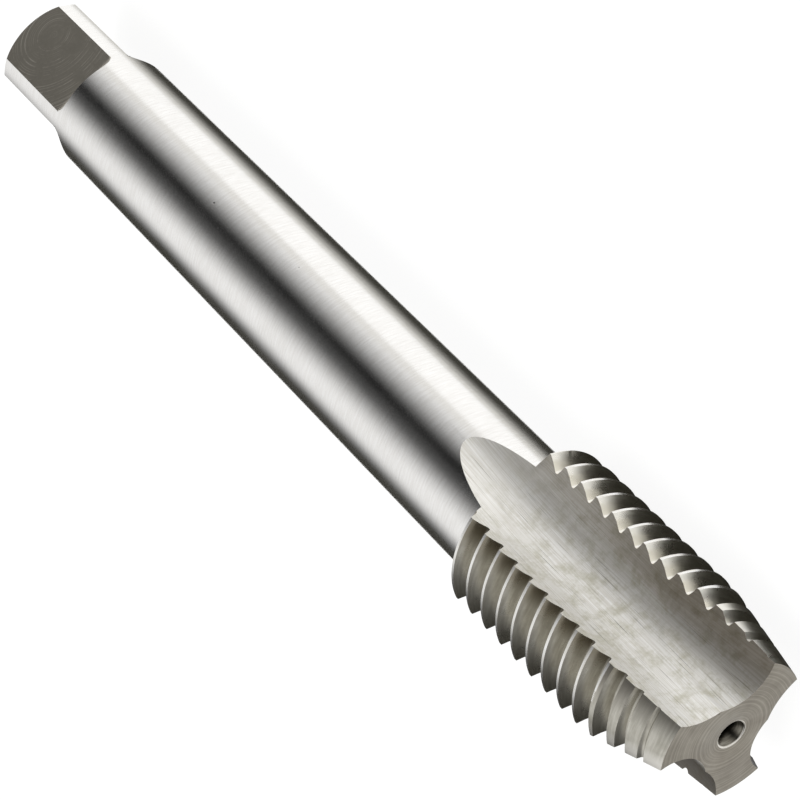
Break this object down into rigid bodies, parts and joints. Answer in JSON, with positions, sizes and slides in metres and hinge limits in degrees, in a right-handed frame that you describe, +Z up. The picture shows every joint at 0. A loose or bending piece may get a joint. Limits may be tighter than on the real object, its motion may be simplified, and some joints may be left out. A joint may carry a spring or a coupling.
{
  "type": "thread tap",
  "caption": "Machine tap for a coarse right-hand thread, with straight flutes, a spiral point, a lead taper, a reduced round shank and a drive square.",
  "frame": {"origin": "centre of the drive square's end face, on the tool's axis", "axes": "+X along the tool's axis towards the cutting tip, +Z up as the tool lies on two of its lands"},
  "size_m": [0.16, 0.024, 0.0224],
  "materials": {
    "steel": "bright ground high speed steel, uncoated"
  },
  "bodies": {
    "root": {"tap": "steel"}
  },
  "joints": []
}
